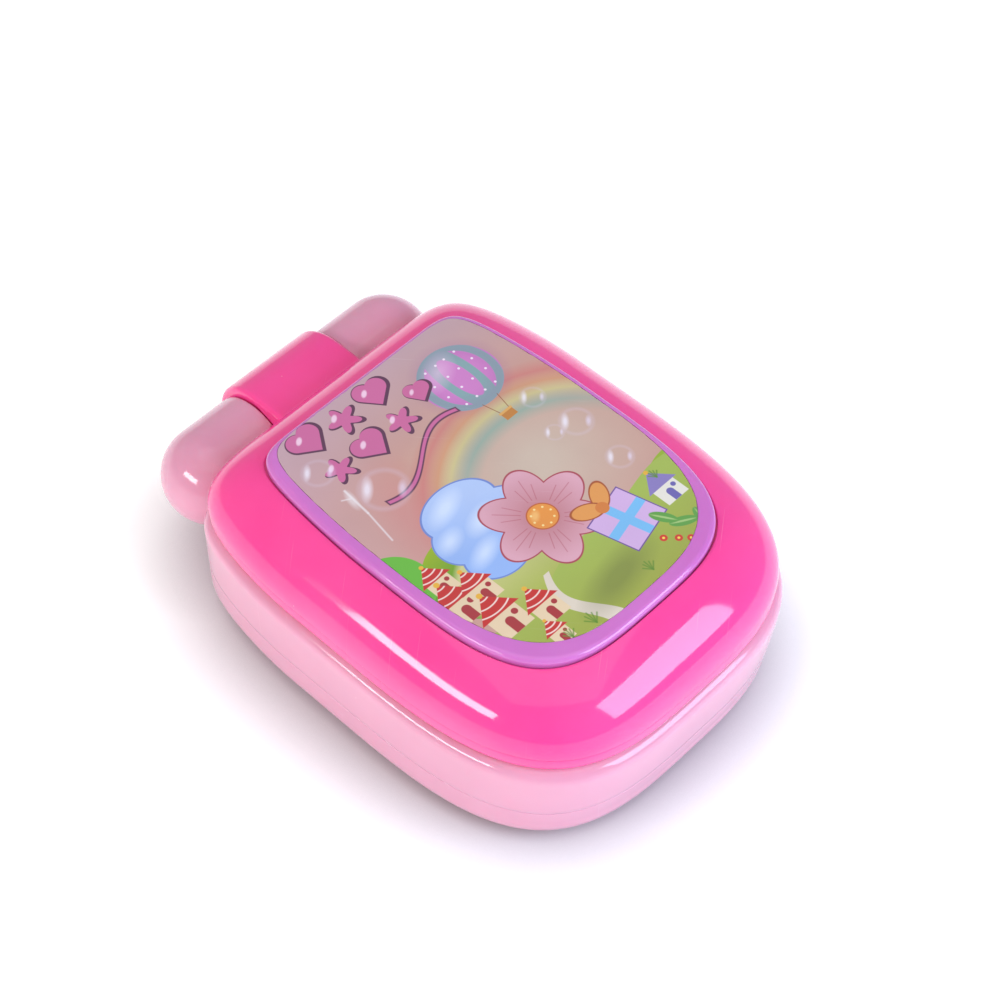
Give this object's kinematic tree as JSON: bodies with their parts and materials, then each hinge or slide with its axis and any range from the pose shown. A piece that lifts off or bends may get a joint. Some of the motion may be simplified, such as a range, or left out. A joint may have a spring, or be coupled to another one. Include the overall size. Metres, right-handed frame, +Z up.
{
  "type": "toy flip phone",
  "caption": "Chubby clamshell toy phone: a domed lid with a printed panel folds open on a barrel hinge over a push-button keypad.",
  "frame": {"origin": "bottom centre of the closed phone's bounding box", "axes": "+X along the hinge, +Y from the front edge to the hinge, +Z up out of the lid"},
  "size_m": [0.092, 0.1331, 0.0466],
  "materials": {
    "hot_pink_plastic": "gloss",
    "light_pink_plastic": "gloss",
    "lilac_plastic": "gloss",
    "printed_sheet": "gloss",
    "clear_plastic": "clear",
    "printed_card": "matte",
    "zinc_steel": "satin",
    "clear_silicone": "matte",
    "green_board": "satin",
    "black_epoxy": "gloss",
    "lamp_resin": "clear",
    "black_paper": "matte",
    "dark_ferrite": "matte",
    "black_plastic": "matte",
    "white_plastic": "matte",
    "battery_wrap": "gloss",
    "nickel": "bright",
    "nylon": "matte",
    "wire_sleeve": "satin",
    "cream_plastic": "gloss",
    "green_plastic": "gloss",
    "red_plastic": "gloss",
    "blue_plastic": "gloss"
  },
  "bodies": {
    "base": {"base_top": "light_pink_plastic", "base_bottom": "light_pink_plastic", "keypad_bezel": "lilac_plastic", "key_mat": "clear_silicone", "circuit_board": "green_board", "sound_chip": "black_epoxy", "led_lamp": "lamp_resin", "light_lens": "clear_plastic", "speaker_basket": "zinc_steel", "speaker_cone": "black_paper", "speaker_magnet": "dark_ferrite", "power_switch": "black_plastic", "battery_left": "battery_wrap", "battery_right": "battery_wrap", "battery_springs": "nickel", "battery_plates": "nickel", "base_screws": "zinc_steel", "board_screws": "zinc_steel", "hinge_pins": "zinc_steel", "hinge_washers": "nylon", "battery_wires": "wire_sleeve", "speaker_wires": "wire_sleeve"},
    "lid": {"lid_outer": "hot_pink_plastic", "lid_inner": "hot_pink_plastic", "lid_panel": "lilac_plastic", "lid_sticker": "printed_sheet", "screen_bezel": "lilac_plastic", "screen_lens": "clear_plastic", "screen_card": "printed_card", "lid_screws": "zinc_steel"},
    "key_call": {"key_call": "green_plastic"},
    "key_music": {"key_music": "blue_plastic"},
    "key_hang_up": {"key_hang_up": "red_plastic"},
    "key_1": {"key_1": "cream_plastic"},
    "key_2": {"key_2": "cream_plastic"},
    "key_3": {"key_3": "cream_plastic"},
    "key_4": {"key_4": "cream_plastic"},
    "key_5": {"key_5": "cream_plastic"},
    "key_6": {"key_6": "cream_plastic"},
    "key_7": {"key_7": "cream_plastic"},
    "key_8": {"key_8": "cream_plastic"},
    "key_9": {"key_9": "cream_plastic"},
    "key_star": {"key_star": "cream_plastic"},
    "key_0": {"key_0": "cream_plastic"},
    "key_hash": {"key_hash": "cream_plastic"},
    "power_slider": {"power_slider": "white_plastic"},
    "battery_door": {"battery_door": "light_pink_plastic", "battery_door_screw": "zinc_steel"}
  },
  "joints": [
    {"name": "lid_hinge", "type": "hinge", "parent": "base", "child": "lid", "pos_m": [0, 0.0534, 0.0215], "axis": [-1, 0, 0], "range_deg": [0, 150]},
    {"name": "key_call_press", "type": "slide", "parent": "base", "child": "key_call", "axis": [0, 0, -1], "range_m": [0, 0.0012], "stiffness_N_per_m": 800, "deforming": ["key_mat"]},
    {"name": "key_music_press", "type": "slide", "parent": "base", "child": "key_music", "axis": [0, 0, -1], "range_m": [0, 0.0012], "stiffness_N_per_m": 800, "deforming": ["key_mat"]},
    {"name": "key_hang_up_press", "type": "slide", "parent": "base", "child": "key_hang_up", "axis": [0, 0, -1], "range_m": [0, 0.0012], "stiffness_N_per_m": 800, "deforming": ["key_mat"]},
    {"name": "key_1_press", "type": "slide", "parent": "base", "child": "key_1", "axis": [0, 0, -1], "range_m": [0, 0.0012], "stiffness_N_per_m": 800, "deforming": ["key_mat"]},
    {"name": "key_2_press", "type": "slide", "parent": "base", "child": "key_2", "axis": [0, 0, -1], "range_m": [0, 0.0012], "stiffness_N_per_m": 800, "deforming": ["key_mat"]},
    {"name": "key_3_press", "type": "slide", "parent": "base", "child": "key_3", "axis": [0, 0, -1], "range_m": [0, 0.0012], "stiffness_N_per_m": 800, "deforming": ["key_mat"]},
    {"name": "key_4_press", "type": "slide", "parent": "base", "child": "key_4", "axis": [0, 0, -1], "range_m": [0, 0.0012], "stiffness_N_per_m": 800, "deforming": ["key_mat"]},
    {"name": "key_5_press", "type": "slide", "parent": "base", "child": "key_5", "axis": [0, 0, -1], "range_m": [0, 0.0012], "stiffness_N_per_m": 800, "deforming": ["key_mat"]},
    {"name": "key_6_press", "type": "slide", "parent": "base", "child": "key_6", "axis": [0, 0, -1], "range_m": [0, 0.0012], "stiffness_N_per_m": 800, "deforming": ["key_mat"]},
    {"name": "key_7_press", "type": "slide", "parent": "base", "child": "key_7", "axis": [0, 0, -1], "range_m": [0, 0.0012], "stiffness_N_per_m": 800, "deforming": ["key_mat"]},
    {"name": "key_8_press", "type": "slide", "parent": "base", "child": "key_8", "axis": [0, 0, -1], "range_m": [0, 0.0012], "stiffness_N_per_m": 800, "deforming": ["key_mat"]},
    {"name": "key_9_press", "type": "slide", "parent": "base", "child": "key_9", "axis": [0, 0, -1], "range_m": [0, 0.0012], "stiffness_N_per_m": 800, "deforming": ["key_mat"]},
    {"name": "key_star_press", "type": "slide", "parent": "base", "child": "key_star", "axis": [0, 0, -1], "range_m": [0, 0.0012], "stiffness_N_per_m": 800, "deforming": ["key_mat"]},
    {"name": "key_0_press", "type": "slide", "parent": "base", "child": "key_0", "axis": [0, 0, -1], "range_m": [0, 0.0012], "stiffness_N_per_m": 800, "deforming": ["key_mat"]},
    {"name": "key_hash_press", "type": "slide", "parent": "base", "child": "key_hash", "axis": [0, 0, -1], "range_m": [0, 0.0012], "stiffness_N_per_m": 800, "deforming": ["key_mat"]},
    {"name": "power_slide", "type": "slide", "parent": "base", "child": "power_slider", "axis": [0, 1, 0], "range_m": [0, 0.003]},
    {"name": "battery_door_lift", "type": "slide", "parent": "base", "child": "battery_door", "axis": [0, 0, -1], "range_m": [0, 0.012]}
  ]
}
